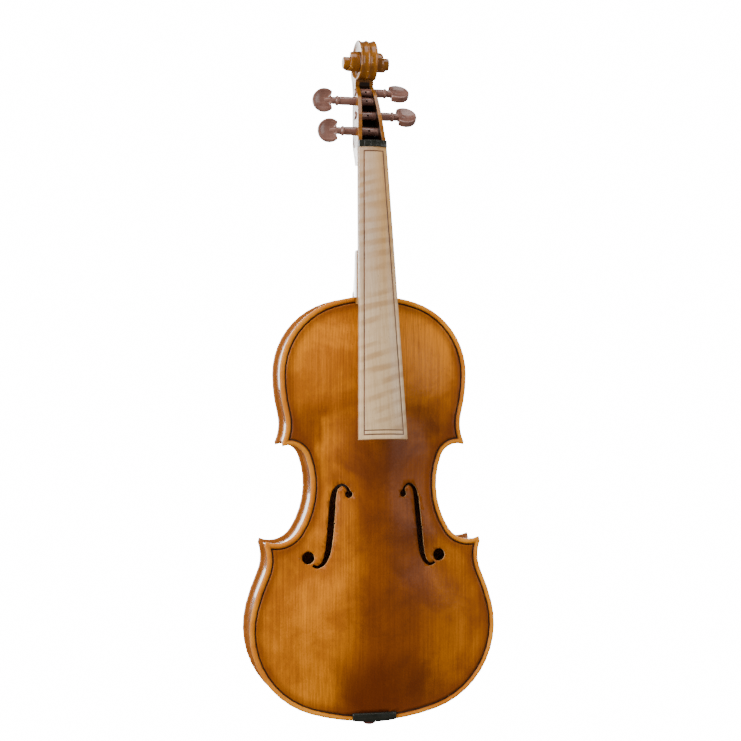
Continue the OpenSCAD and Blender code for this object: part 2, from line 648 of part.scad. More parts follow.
// The heel sweeps from the back's button up to the round of the neck
heel_top_z = z_top + 38;
function neck_r(z) = mix(neck_r_nut, neck_r_heel, (nut_z - z) / neck_stop);
heel_top = [glue_y(heel_top_z) + neck_r(heel_top_z) - 0.3, heel_top_z];
heel_foot = [rib_h / 2, z_top + button_up - 0.8];
heel_back = bezier(heel_foot, heel_foot + [-11, 1.8], heel_top + [2, -22], heel_top, 8);
heel_profile = concat([[glue_y(heel_top_z), heel_top_z], [glue_y(heel_z), heel_z],
                       [rib_h / 2, heel_z]], heel_back);
heel_round_r = 60;
module neck_taper() polygon([[-root_w / 2, heel_z - 1], [root_w / 2, heel_z - 1],
    [root_w / 2, z_top], [board_w_nut / 2, nut_z], [-board_w_nut / 2, nut_z], [-root_w / 2, z_top]]);
// Widths of the scroll's second and third turns
turn_2_w = scroll_w * 0.67;
turn_3_w = scroll_w * 0.84;
all_through = 4 * (rib_h + top_arch + back_arch);
// Half space in front of the glue face, up to the nut's upper end
module in_front() translate([-all_through / 2, nut_len - all_through, 0]) cube(all_through);
// A round bar under the glue face from z_a down to z_b
module neck_bar(z_a, z_b, r_a, r_b) translate([0, (z_a - nut_z) / cos(board_slope), 0])
    rotate([90, 0, 0]) cylinder(r1 = r_a, r2 = r_b, h = (z_a - z_b) / cos(board_slope), $fn = 96);
module heel() intersection() {
    in_side(root_w) polygon(heel_profile);
    translate([0, 0, heel_z]) mirror([0, 1, 0]) linear_extrude(heel_top_z - heel_z) root_shape();
    in_plan(all_through) neck_taper();
    on_neck() neck_bar(heel_top_z + 4, heel_z - 4, neck_r(heel_top_z) + 0.2, heel_round_r);
}
module pegbox() intersection() {
    in_side(pegbox_w_nut) {
        polygon(pegbox_profile);
        polygon([for (a = [-8:12:352]) spiral(a)]);
    }
    in_plan(all_through) front_taper();
}
module neck() color("goldenrod") difference() {
    union() {
        on_neck() neck_bar(pegbox_z, z_top, neck_r_nut, neck_r_heel);
        heel();
        pegbox();
        in_side(turn_2_w) polygon([for (a = [300:12:660]) spiral(a)]);
        in_side(turn_3_w) polygon([for (a = [480:15:840]) spiral(a)]);
        in_side(scroll_w) translate(eye) circle(eye_r);
    }
    on_neck() in_front();
    intersection() {
        in_side(pegbox_w_nut) polygon(cavity_profile);
        in_plan(all_through) front_taper(cheek_t);
    }
    peg_holes();
}

// ---- Pegs and end button ----
bead_r = 4.25;
bead_len = 2.6;
collar_r = 3.3;
collar_len = 3;
head_notch_r = 4;
// A peg's section along its length: w is half the pegbox's width, neck is where the bead starts
function peg_profile(w, neck) = [
    [0, -w - 0.6], [peg_tip_d / 2 - 0.6, -w - 0.6], [peg_tip_d / 2, -w],
    [peg_tip_d / 2, -w + cheek_t + 1], [peg_shank_d / 2, w - cheek_t - 1],
    [peg_shank_d / 2, neck], [bead_r - 0.5, neck + 0.1], [bead_r, neck + 0.6],
    [bead_r, neck + bead_len - 0.8], [collar_r + 0.4, neck + bead_len],
    [collar_r, neck + bead_len + 0.5], [collar_r, neck + bead_len + collar_len + 3],
    [0, neck + bead_len + collar_len + 3]];
module peg(i) color("rosybrown") at_peg(i) difference() {
    w = cheek_half(peg_z(i)) + 0.4;
    neck = w + peg_reach + peg_more[i];
    head_x = neck + bead_len + collar_len;
    union() {
        rotate([0, 90, 0]) rotate_extrude() polygon(peg_profile(w, neck));
        rotate([-peg_side[i] * peg_turn[i], 0, 0]) rotate([90, 0, 0])
            linear_extrude(head_t, center = true) difference() {
                intersection() {
                    translate([head_x + head_len - head_w / 2, 0]) circle(head_w / 2);
                    translate([head_x, -head_w / 2]) square([head_len, head_w]);
                }
                for (side = [-1, 1]) translate([head_x - 2.2, side * (collar_r + head_notch_r)])
                    circle(head_notch_r);
            }
    }
    translate([0, 10, 0]) rotate([90, 0, 0]) cylinder(d = string_hole_d, h = 20);
}
button_neck_r = 4;
button_rim = 2.4;
module end_button() color("maroon") rotate_extrude() polygon([
    [0, shank_len], [shank_d / 2 - 0.6, shank_len], [shank_d / 2, shank_len - 0.8], [shank_d / 2, 0],
    [button_neck_r + 0.8, 0], [button_neck_r, -0.6], [button_neck_r, -2],
    [button_d / 2 - 1.4, -2.7], [button_d / 2, -3.8], [button_d / 2, -3.8 - button_rim],
    [button_d / 2 - 1, -button_out + 1.4], [button_d / 2 - 2.8, -button_out + 0.4], [0, -button_out]]);

top_plate();
back_plate();
purfling_top();
purfling_back();
rib("lower", "bass");  // rib_lower_bass
rib("lower", "treble");  // rib_lower_treble
rib("waist", "bass");  // rib_waist_bass
rib("waist", "treble");  // rib_waist_treble
rib("upper", "bass");  // rib_upper_bass
rib("upper", "treble");  // rib_upper_treble
block_neck();
block_end();
block_corner("lower", "bass");  // block_lower_bass
block_corner("lower", "treble");  // block_lower_treble
block_corner("upper", "bass");  // block_upper_bass
block_corner("upper", "treble");  // block_upper_treble
lining(-1, "lower", "bass");  // lining_top_lower_bass
lining(-1, "lower", "treble");  // lining_top_lower_treble
lining(-1, "waist", "bass");  // lining_top_waist_bass
lining(-1, "waist", "treble");  // lining_top_waist_treble
lining(-1, "upper", "bass");  // lining_top_upper_bass
lining(-1, "upper", "treble");  // lining_top_upper_treble
lining(1, "lower", "bass");  // lining_back_lower_bass
lining(1, "lower", "treble");  // lining_back_lower_treble
lining(1, "waist", "bass");  // lining_back_waist_bass
lining(1, "waist", "treble");  // lining_back_waist_treble
lining(1, "upper", "bass");  // lining_back_upper_bass
lining(1, "upper", "treble");  // lining_back_upper_treble
bass_bar();
sound_post();
neck();
fingerboard();
board_inlay();
nut();
saddle();
end_button();
peg(0);  // peg_g
peg(1);  // peg_e
peg(2);  // peg_d
peg(3);  // peg_a
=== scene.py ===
import json
import math

import bpy
import numpy
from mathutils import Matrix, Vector

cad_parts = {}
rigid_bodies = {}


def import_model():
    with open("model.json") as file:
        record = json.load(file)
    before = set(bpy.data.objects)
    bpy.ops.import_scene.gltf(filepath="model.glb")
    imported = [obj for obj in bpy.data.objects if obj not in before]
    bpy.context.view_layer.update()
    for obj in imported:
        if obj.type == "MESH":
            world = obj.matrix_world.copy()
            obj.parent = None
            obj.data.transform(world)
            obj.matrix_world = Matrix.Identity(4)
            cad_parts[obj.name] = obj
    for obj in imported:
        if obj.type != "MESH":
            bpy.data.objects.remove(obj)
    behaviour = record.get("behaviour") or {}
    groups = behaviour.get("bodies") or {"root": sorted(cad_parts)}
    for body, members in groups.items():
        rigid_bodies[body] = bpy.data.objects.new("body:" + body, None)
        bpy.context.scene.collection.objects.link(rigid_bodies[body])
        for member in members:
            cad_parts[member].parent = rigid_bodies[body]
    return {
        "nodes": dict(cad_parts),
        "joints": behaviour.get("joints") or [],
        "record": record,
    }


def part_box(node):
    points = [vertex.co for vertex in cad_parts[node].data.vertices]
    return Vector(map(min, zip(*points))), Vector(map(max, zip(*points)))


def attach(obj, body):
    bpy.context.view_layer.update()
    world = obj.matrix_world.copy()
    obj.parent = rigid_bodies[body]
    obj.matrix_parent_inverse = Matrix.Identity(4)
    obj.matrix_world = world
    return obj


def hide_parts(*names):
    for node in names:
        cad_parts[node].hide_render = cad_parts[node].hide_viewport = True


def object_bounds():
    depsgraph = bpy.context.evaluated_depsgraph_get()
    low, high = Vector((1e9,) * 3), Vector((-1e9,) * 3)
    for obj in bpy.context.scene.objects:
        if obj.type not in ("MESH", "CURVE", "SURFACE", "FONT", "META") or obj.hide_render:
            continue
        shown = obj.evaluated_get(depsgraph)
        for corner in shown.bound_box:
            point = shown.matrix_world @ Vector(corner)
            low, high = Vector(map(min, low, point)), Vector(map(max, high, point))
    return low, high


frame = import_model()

cad_low, cad_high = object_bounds()

# ---- View ----
# The violin stands upright on its end button and is seen nearly square on, a little from its
# bass side, through a long lens held level with the middle of the body.
look_at = Vector((0.0, -0.019, 0.2925))
look_turn = math.radians(-14)
look_from = look_at + 1.35 * Vector((math.sin(look_turn), -math.cos(look_turn), 0.0))
lens = bpy.data.cameras.new("long_lens")
lens.lens = 78
lens.shift_x = -0.0054
camera = bpy.data.objects.new("camera", lens)
camera.location = look_from
camera.rotation_mode = "QUATERNION"
camera.rotation_quaternion = (look_at - look_from).to_track_quat("-Z", "Y")
bpy.context.scene.collection.objects.link(camera)
bpy.context.scene.camera = camera


# ---- Studio ----
# A white paper floor in a white room, so bright that its edge can't be seen. A large soft box
# stands at the bass side, a weaker one at the treble side, one overhead and one behind.
def add_node(tree, kind, inputs=None, **settings):
    made = tree.nodes.new(kind)
    for name, value in settings.items():
        setattr(made, name, value)
    for name, value in (inputs or {}).items():
        if isinstance(value, bpy.types.NodeSocket):
            tree.links.new(value, made.inputs[name])
        else:
            made.inputs[name].default_value = value
    return made


def sums(tree, operation, first, second=0.0):
    return add_node(tree, "ShaderNodeMath", {0: first, 1: second}, operation=operation).outputs[0]


def ramp(tree, value, low, high, to_low=0.0, to_high=1.0):
    return add_node(tree, "ShaderNodeMapRange",
                    {"Value": value, "From Min": low, "From Max": high, "To Min": to_low,
                     "To Max": to_high}, interpolation_type="SMOOTHSTEP").outputs[0]


def white_glow(tree, seen, mirrored, shed):
    """Strength of a white surface: as seen, as mirrored in gloss, and as light on what is matt."""
    path = add_node(tree, "ShaderNodeLightPath").outputs
    glossy = sums(tree, "MULTIPLY", path["Is Glossy Ray"], sums(tree, "SUBTRACT", mirrored, shed))
    direct = sums(tree, "MULTIPLY", path["Is Camera Ray"], seen - shed)
    return sums(tree, "ADD", sums(tree, "ADD", glossy, direct), shed)


seen_white = 16
room = bpy.data.worlds.new("white_room")
bpy.context.scene.world = room
room.use_nodes = True
walls = room.node_tree
way = add_node(walls, "ShaderNodeTexCoord").outputs["Generated"]
behind = add_node(walls, "ShaderNodeSeparateXYZ", {0: way}).outputs[1]
walls.nodes["Background"].inputs["Color"].default_value = (1, 1, 1, 1)
walls.links.new(white_glow(walls, seen_white, ramp(walls, behind, 0.86, 0.95, 0.12, 5.0), 0.62),
                walls.nodes["Background"].inputs["Strength"])

bpy.ops.object.select_all(action="DESELECT")
bpy.ops.mesh.primitive_grid_add(x_subdivisions=4, y_subdivisions=4, size=12)
floor = bpy.context.object
floor.name = "floor"
floor.location.z = cad_low.z - 0.0006
paper = bpy.data.materials.new("white_paper")
paper.use_nodes = True
paper.node_tree.nodes.remove(paper.node_tree.nodes["Principled BSDF"])
paper_glow = add_node(paper.node_tree, "ShaderNodeEmission",
                      {"Strength": white_glow(paper.node_tree, seen_white, 0.15, 0.5)})
paper.node_tree.links.new(paper_glow.outputs[0],
                          paper.node_tree.nodes["Material Output"].inputs["Surface"])
floor.data.materials.append(paper)


def soft_box(name, place, width, height, power):
    light = bpy.data.lights.new(name, "AREA")
    light.shape = "RECTANGLE"
    light.size, light.size_y, light.energy = width, height, power
    box = bpy.data.objects.new(name, light)
    box.location = place
    box.rotation_mode = "QUATERNION"
    box.rotation_quaternion = (Vector((0, 0, 0.28)) - Vector(place)).to_track_quat("-Z", "Y")
    bpy.context.scene.collection.objects.link(box)


soft_box("box_bass_side", (-1.7, -0.75, 0.75), 1.3, 1.7, 55)
soft_box("box_treble_side", (1.6, -1.3, 0.6), 1.0, 1.4, 14)
soft_box("box_overhead", (0.0, -0.5, 1.9), 1.4, 1.0, 16)
soft_box("box_behind", (0.6, 1.7, 0.9), 1.6, 1.2, 30)


# ---- Front plate ----
# Two wedges of spruce joined up the middle, carved to an arch and cut with two sound holes. Its
# grain runs up the body. The varnish is golden at the bass side and rubbed and darkened elsewhere.
def only(piece):
    bpy.ops.object.select_all(action="DESELECT")
    piece.select_set(True)
    bpy.context.view_layer.objects.active = piece


def finish_mesh(piece, angle):
    only(piece)
    bpy.ops.object.shade_smooth_by_angle(angle=math.radians(angle))


def put_in_place(piece, body, slot, *nodes):
    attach(piece, body)
    if nodes:
        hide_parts(*nodes)


def worked_copy(node, name, slot, angle=35, bevel=0.0, steps=2):
    """A merged copy of a CAD node, its sharp edges softened by a bevel, in metres."""
    only(frame["nodes"][node])
    bpy.ops.object.duplicate()
    piece = bpy.context.object
    bpy.ops.object.parent_clear(type="CLEAR_KEEP_TRANSFORM")
    piece.name = piece.data.name = name
    piece.data.materials.clear()
    bpy.ops.object.mode_set(mode="EDIT")
    bpy.ops.mesh.select_all(action="SELECT")
    bpy.ops.mesh.remove_doubles(threshold=0.000003)
    if bevel:
        bpy.ops.mesh.dissolve_limited(angle_limit=math.radians(0.6))
    bpy.ops.object.mode_set(mode="OBJECT")
    if bevel:
        soft = piece.modifiers.new("soft_edges", "BEVEL")
        soft.width, soft.segments, soft.limit_method = bevel, steps, "ANGLE"
        soft.angle_limit = math.radians(38)
        bpy.ops.object.modifier_apply(modifier=soft.name)
    finish_mesh(piece, angle)
    put_in_place(piece, "instrument", slot, node)
    return piece


def even_shading(piece):
    """Lets the large faces decide how the carved surface catches the light round the cut holes."""
    only(piece)
    even = piece.modifiers.new("even_shading", "WEIGHTED_NORMAL")
    even.keep_sharp, even.weight = True, 60
    bpy.ops.object.modifier_apply(modifier=even.name)


# How far the foot of a plate's outer wall lies from the middle of the ribs
wall_foot = 0.0159


def mark_margin(piece):
    """Stores on every point how far in from the plate's outline it lies, in metres."""
    points = [v.co for v in piece.data.vertices]
    wall = {i for e in piece.data.edges for i in e.vertices
            if all(abs(abs(points[k].y) - wall_foot) < 0.00002 for k in e.vertices)}
    runs = [(points[a], points[b]) for a, b in (e.vertices for e in piece.data.edges)
            if a in wall and b in wall]
    store = piece.data.attributes.new("from_edge", "FLOAT", "POINT")
    starts = numpy.array([(a.x, a.z) for a, b in runs])
    steps = numpy.array([(b.x - a.x, b.z - a.z) for a, b in runs])
    lengths = (steps * steps).sum(axis=1)
    for index, point in enumerate(points):
        away = numpy.array((point.x, point.z)) - starts
        share = numpy.clip((away * steps).sum(axis=1) / lengths, 0.0, 1.0)
        gaps = away - share[:, None] * steps
        store.data[index].value = math.sqrt((gaps * gaps).sum(axis=1).min())


def new_group(name, inputs, outputs):
    group = bpy.data.node_groups.new(name, "ShaderNodeTree")
    for label, kind, value in inputs:
        made = group.interface.new_socket(label, in_out="INPUT", socket_type="NodeSocket" + kind)
        if value is not None:
            made.default_value = value
    for label, kind in outputs:
        group.interface.new_socket(label, in_out="OUTPUT", socket_type="NodeSocket" + kind)
    return group, group.nodes.new("NodeGroupInput").outputs, group.nodes.new("NodeGroupOutput").inputs


def stretched(tree, point, scale, turn=(0.0, 0.0, 0.0)):
    return add_node(tree, "ShaderNodeMapping", {"Vector": point, "Scale": scale, "Rotation": turn}).outputs[0]


def noise(tree, point, scale, detail=3.0, roughness=0.55, distortion=0.0):
    return add_node(tree, "ShaderNodeTexNoise", {"Vector": point, "Scale": scale, "Detail": detail,
                                                 "Roughness": roughness, "Distortion": distortion}).outputs[0]


def blended(tree, share, first, second):
    made = add_node(tree, "ShaderNodeMix", data_type="RGBA", blend_type="MIX", clamp_result=True)
    for index, value in ((0, share), (6, first), (7, second)):
        if isinstance(value, bpy.types.NodeSocket):
            tree.links.new(value, made.inputs[index])
        else:
            made.inputs[index].default_value = value if index == 0 else (*value, 1.0)
    return made.outputs[2]


# Growth lines and streaks of straight-grained wood. The lines lie across X of the given point.
straight_grain, put, get = new_group(
    "straight_grain", [("Point", "Vector", None), ("Line pitch", "Float", 0.0011)],
    [("Lines", "Float"), ("Streaks", "Float")])
pitch_scale = sums(straight_grain, "DIVIDE", 0.314, put["Line pitch"])
bands = add_node(straight_grain, "ShaderNodeTexWave",
                 {"Vector": stretched(straight_grain, put["Point"], (1, 0.35, 0.012)),
                  "Scale": pitch_scale, "Distortion": 5.0, "Detail": 2.0, "Detail Scale": 0.12,
                  "Detail Roughness": 0.6}, bands_direction="X")
straight_grain.links.new(ramp(straight_grain, bands.outputs["Fac"], 0.35, 1.0), get["Lines"])
fibres = noise(straight_grain, stretched(straight_grain, put["Point"], (700, 200, 9)), 1.0, 4.0, 0.6)
straight_grain.links.new(ramp(straight_grain, fibres, 0.3, 0.72), get["Streaks"])

# What years of playing leave in varnish: cloudy patches, small specks and fine scratches
old_varnish, put, get = new_group(
    "old_varnish", [("Point", "Vector", None), ("Patch size", "Float", 0.05)],
    [("Patches", "Float"), ("Specks", "Float"), ("Scratches", "Float")])
patch_scale = sums(old_varnish, "DIVIDE", 1.0, put["Patch size"])
old_varnish.links.new(ramp(old_varnish, noise(old_varnish, put["Point"], patch_scale, 4.0, 0.6, 0.4),
                           0.36, 0.66), get["Patches"])
dots = noise(old_varnish, put["Point"], 900.0, 2.0, 0.5)
old_varnish.links.new(ramp(old_varnish, dots, 0.66, 0.76), get["Specks"])
hairs = noise(old_varnish, stretched(old_varnish, put["Point"], (2200, 900, 45), (0.2, 0.35, 0.0)), 1.0, 1.0)
old_varnish.links.new(ramp(old_varnish, hairs, 0.68, 0.78), get["Scratches"])


def place_group(tree, group, inputs):
    made = tree.nodes.new("ShaderNodeGroup")
    made.node_tree = group
    for name, value in inputs.items():
        if isinstance(value, bpy.types.NodeSocket):
            tree.links.new(value, made.inputs[name])
        else:
            made.inputs[name].default_value = value
    return made.outputs


def new_finish(name, gloss, coat, coat_rough):
    """A material with its shader, and the point on the object in metres."""
    made = bpy.data.materials.new(name)
    made.use_nodes = True
    tree = made.node_tree
    shader = tree.nodes["Principled BSDF"]
    shader.inputs["Roughness"].default_value = gloss
    shader.inputs["Coat Weight"].default_value = coat
    shader.inputs["Coat Roughness"].default_value = coat_rough
    shader.inputs["Specular IOR Level"].default_value = 0.4
    point = add_node(tree, "ShaderNodeTexCoord").outputs["Object"]
    return made, tree, shader, point


def surface(tree, shader, colour, height, depth, roughness=None):
    tree.links.new(colour, shader.inputs["Base Color"])
    bump = add_node(tree, "ShaderNodeBump", {"Height": height, "Distance": depth, "Strength": 1.0})
    tree.links.new(bump.outputs[0], shader.inputs["Normal"])
    if roughness is not None:
        tree.links.new(roughness, shader.inputs["Roughness"])


front = worked_copy("top_plate", "front_plate", "spruce_front", angle=48)
mark_margin(front)
even_shading(front)
spruce, tree, shader, point = new_finish("spruce_front", 0.45, 0.1, 0.2)
shader.inputs["Specular IOR Level"].default_value = 0.14
grain = place_group(tree, straight_grain, {"Point": point, "Line pitch": 0.0012})
age = place_group(tree, old_varnish, {"Point": point, "Patch size": 0.045})
across, through, up = add_node(tree, "ShaderNodeSeparateXYZ", {0: point}).outputs
cloud = noise(tree, stretched(tree, point, (1, 1, 0.55)), 17.0, 4.0, 0.62, 0.5)
# The bass side is golden, and a dark stained band runs down the middle under where strings were
swayed = sums(tree, "ADD", across, sums(tree, "MULTIPLY", sums(tree, "SUBTRACT", cloud, 0.5), 0.07))
dark_side = sums(tree, "MULTIPLY", ramp(tree, swayed, -0.048, -0.008),
                 ramp(tree, swayed, 0.032, 0.082, 1.0, 0.55))
raised = sums(tree, "ADD", up, sums(tree, "MULTIPLY", sums(tree, "SUBTRACT", cloud, 0.5), 0.09))
dark_low = ramp(tree, raised, 0.315, 0.215)
stain = sums(tree, "MULTIPLY", dark_side, dark_low)
# Hands and the bow have darkened the front beside both waists, below the upper corners
beside = sums(tree, "ABSOLUTE", sums(tree, "ADD", swayed, 0.001))
waist = sums(tree, "MULTIPLY", ramp(tree, beside, 0.036, 0.048), ramp(tree, raised, 0.195, 0.225))
waist = sums(tree, "MULTIPLY", waist, ramp(tree, raised, 0.275, 0.245))
stain = sums(tree, "MAXIMUM", stain, sums(tree, "MULTIPLY", waist, 0.85))
golden = blended(tree, age["Patches"], (0.80, 0.25, 0.0), (0.46, 0.125, 0.0))
brown = blended(tree, age["Patches"], (0.21, 0.045, 0.0), (0.115, 0.022, 0.0))
base = blended(tree, sums(tree, "MULTIPLY", stain, 0.92), golden, brown)
red_foot = sums(tree, "MULTIPLY", ramp(tree, raised, 0.075, 0.02), ramp(tree, swayed, 0.06, 0.0))
red_foot = sums(tree, "MULTIPLY", red_foot, ramp(tree, swayed, -0.06, -0.02))
base = blended(tree, sums(tree, "MULTIPLY", red_foot, 0.7), base, (0.10, 0.012, 0.0))
lined = blended(tree, sums(tree, "MULTIPLY", grain["Lines"], 0.42), base, (0.15, 0.030, 0.0))
streaky = blended(tree, sums(tree, "MULTIPLY", grain["Streaks"], 0.36), lined, (0.11, 0.018, 0.0))
specked = blended(tree, sums(tree, "MULTIPLY", age["Specks"], 0.4), streaky, (0.02, 0.006, 0.002))
# The raised margin is rubbed to a lighter gold, and the channel inside it is darker
inward = add_node(tree, "ShaderNodeAttribute", attribute_name="from_edge").outputs["Fac"]
rim = ramp(tree, inward, 0.0042, 0.0026)
channel = sums(tree, "MULTIPLY", ramp(tree, inward, 0.0030, 0.0055), ramp(tree, inward, 0.0135, 0.0065))
channel_darkened = blended(tree, sums(tree, "MULTIPLY", channel, 0.6), specked, (0.15, 0.028, 0.0006))
rubbed = blended(tree, age["Patches"], (0.74, 0.27, 0.012), (0.60, 0.17, 0.004))
edged = blended(tree, sums(tree, "MULTIPLY", rim, 0.85), channel_darkened, rubbed)
side_wall = add_node(tree, "ShaderNodeNewGeometry").outputs["True Normal"]
facing = add_node(tree, "ShaderNodeSeparateXYZ", {0: side_wall}).outputs[1]
upright = ramp(tree, sums(tree, "ABSOLUTE", facing), 0.45, 0.2)
cut_walls = blended(tree, sums(tree, "MULTIPLY", upright, 0.8), edged, (0.55, 0.34, 0.15))
relief = sums(tree, "ADD", sums(tree, "MULTIPLY", grain["Lines"], 0.5),
              sums(tree, "MULTIPLY", age["Scratches"], -0.6))
surface(tree, shader, cut_walls, relief, 0.00006, ramp(tree, age["Patches"], 0.0, 1.0, 0.4, 0.54))
front.data.materials.append(spruce)

# ---- Back plate ----
# Two leaves of flamed maple, arched like the front, with a button at the top that covers the heel.
# The varnish is redder than on the front, and worn to gold where the back is held and laid down.
flamed_grain, put, get = new_group(
    "flamed_grain", [("Point", "Vector", None), ("Flame pitch", "Float", 0.011)],
    [("Flames", "Float"), ("Fibres", "Float"), ("Pores", "Float")])
flame_scale = sums(flamed_grain, "DIVIDE", 0.314, put["Flame pitch"])
bent = stretched(flamed_grain, put["Point"], (0.28, 0.1, 1.0))
ripples = add_node(flamed_grain, "ShaderNodeTexWave",
                   {"Vector": bent, "Scale": flame_scale, "Distortion": 7.0, "Detail": 3.0,
                    "Detail Scale": 0.55, "Detail Roughness": 0.6}, bands_direction="Z")
broken = noise(flamed_grain, stretched(flamed_grain, put["Point"], (30, 30, 55)), 1.0, 3.0, 0.6)
broken = ramp(flamed_grain, broken, 0.3, 0.65)
flamed_grain.links.new(sums(flamed_grain, "MULTIPLY", ramp(flamed_grain, ripples.outputs["Fac"], 0.15, 0.95),
                            broken), get["Flames"])
threads = noise(flamed_grain, stretched(flamed_grain, put["Point"], (900, 500, 22)), 1.0, 3.0, 0.6)
flamed_grain.links.new(ramp(flamed_grain, threads, 0.3, 0.7), get["Fibres"])
flecks = noise(flamed_grain, stretched(flamed_grain, put["Point"], (2600, 2600, 260)), 1.0, 1.0)
flamed_grain.links.new(ramp(flamed_grain, flecks, 0.66, 0.76), get["Pores"])


def flamed_maple(name, light, deep, worn, gloss, coat, coat_rough, pitch, turn=(0, 0, 0), patch=0.04,
                 flame=0.6):
    made, tree, shader, point = new_finish(name, gloss, coat, coat_rough)
    grain = place_group(tree, flamed_grain, {"Point": stretched(tree, point, (1, 1, 1), turn),
                                             "Flame pitch": pitch})
    age = place_group(tree, old_varnish, {"Point": point, "Patch size": patch})
    base = blended(tree, sums(tree, "MULTIPLY", grain["Flames"], flame), light, deep)
    base = blended(tree, sums(tree, "MULTIPLY", age["Patches"], 0.5), base, deep)
    base = blended(tree, sums(tree, "MULTIPLY", grain["Fibres"], 0.22), base, worn)
    base = blended(tree, sums(tree, "MULTIPLY", grain["Pores"], 0.5), base, tuple(c * 0.3 for c in deep))
    base = blended(tree, sums(tree, "MULTIPLY", age["Specks"], 0.4), base, tuple(c * 0.12 for c in deep))
    relief = sums(tree, "ADD", sums(tree, "MULTIPLY", grain["Fibres"], 0.4),
                  sums(tree, "MULTIPLY", age["Scratches"], -0.6))
    return made, tree, shader, point, base, relief, age


back = worked_copy("back_plate", "back_plate_flamed", "maple_back", angle=48)
mark_margin(back)
even_shading(back)
maple_back, tree, shader, point, base, relief, age = flamed_maple(
    "maple_back", (0.36, 0.098, 0.008), (0.15, 0.026, 0.003), (0.42, 0.13, 0.012), 0.36, 0.45, 0.14, 0.010,
    turn=(0, 0.09, 0), patch=0.06, flame=0.75)
across, through, up = add_node(tree, "ShaderNodeSeparateXYZ", {0: point}).outputs
inward = add_node(tree, "ShaderNodeAttribute", attribute_name="from_edge").outputs["Fac"]
rim = ramp(tree, inward, 0.0042, 0.0026)
channel = sums(tree, "MULTIPLY", ramp(tree, inward, 0.0030, 0.0055), ramp(tree, inward, 0.0125, 0.0065))
base = blended(tree, sums(tree, "MULTIPLY", channel, 0.6), base, (0.06, 0.012, 0.002))
base = blended(tree, sums(tree, "MULTIPLY", rim, 0.6), base, (0.42, 0.13, 0.012))
crown = ramp(tree, sums(tree, "ADD", through, sums(tree, "MULTIPLY", age["Patches"], 0.003)), 0.0275, 0.031)
base = blended(tree, sums(tree, "MULTIPLY", crown, 0.55), base, (0.50, 0.19, 0.03))
seam = ramp(tree, sums(tree, "ABSOLUTE", across), 0.00028, 0.0001)
base = blended(tree, sums(tree, "MULTIPLY", seam, 0.5), base, (0.04, 0.01, 0.003))
surface(tree, shader, base, relief, 0.00005)
back.data.materials.append(maple_back)

# ---- Purfling ----
# A strip of three plies, black, white and black, laid in a groove round both plates. Old glue and
# dirt darken it, and here and there the pale middle shows.
purfling, tree, shader, point = new_finish("purfling", 0.6, 0.0, 0.3)
shader.inputs["Specular IOR Level"].default_value = 0.12
age = place_group(tree, old_varnish, {"Point": point, "Patch size": 0.006})
strip = blended(tree, age["Patches"], (0.016, 0.005, 0.0015), (0.045, 0.014, 0.003))
strip = blended(tree, sums(tree, "MULTIPLY", age["Specks"], 0.8), strip, (0.20, 0.10, 0.03))
surface(tree, shader, strip, age["Scratches"], -0.00004)
for name in ("purfling_top", "purfling_back"):
    frame["nodes"][name].data.materials.clear()
    frame["nodes"][name].data.materials.append(purfling)

# ---- Ribs ----
# Six thin strips of flamed maple, bent over a hot iron and glued to the blocks. They meet at the
# four corners, under the neck and at the end button, and carry the glossiest varnish.
maple_ribs, tree, shader, point, base, relief, age = flamed_maple(
    "maple_ribs", (0.42, 0.13, 0.012), (0.17, 0.032, 0.003), (0.5, 0.17, 0.02), 0.25, 0.9, 0.06, 0.009,
    turn=(0, 1.35, 0), patch=0.03, flame=0.8)
across, through, up = add_node(tree, "ShaderNodeSeparateXYZ", {0: point}).outputs
# Darker along both edges of the ribs, next to the plates
near_plates = ramp(tree, sums(tree, "ABSOLUTE", through), 0.0128, 0.015)
base = blended(tree, sums(tree, "MULTIPLY", near_plates, 0.55), base, (0.07, 0.015, 0.002))
surface(tree, shader, base, relief, 0.00004)
for run in ("lower", "waist", "upper"):
    for side in ("bass", "treble"):
        rib = worked_copy(f"rib_{run}_{side}", f"rib_{run}_{side}_bent", "maple_ribs", angle=40)
        rib.data.materials.append(maple_ribs)

# ---- Inside ----
# Blocks and linings of willow, and a bass bar and sound post of spruce, planed and left bare.
# They only show through the sound holes, dusty and grey with age.
for name, light, deep in (("willow_inside", (0.50, 0.36, 0.20), (0.34, 0.23, 0.12)),
                          ("spruce_inside", (0.56, 0.41, 0.22), (0.38, 0.25, 0.12))):
    bare, tree, shader, point = new_finish(name, 0.8, 0.0, 0.5)
    grain = place_group(tree, straight_grain, {"Point": point, "Line pitch": 0.0013})
    age = place_group(tree, old_varnish, {"Point": point, "Patch size": 0.02})
    base = blended(tree, sums(tree, "MULTIPLY", grain["Lines"], 0.5), light, deep)
    base = blended(tree, sums(tree, "MULTIPLY", age["Patches"], 0.4), base, (0.16, 0.14, 0.12))
    surface(tree, shader, base, grain["Streaks"], 0.00008)
    for entry in frame["record"]["subparts"]:
        if entry["material_slot"] == name:
            frame["nodes"][entry["node"]].data.materials.clear()
            frame["nodes"][entry["node"]].data.materials.append(bare)

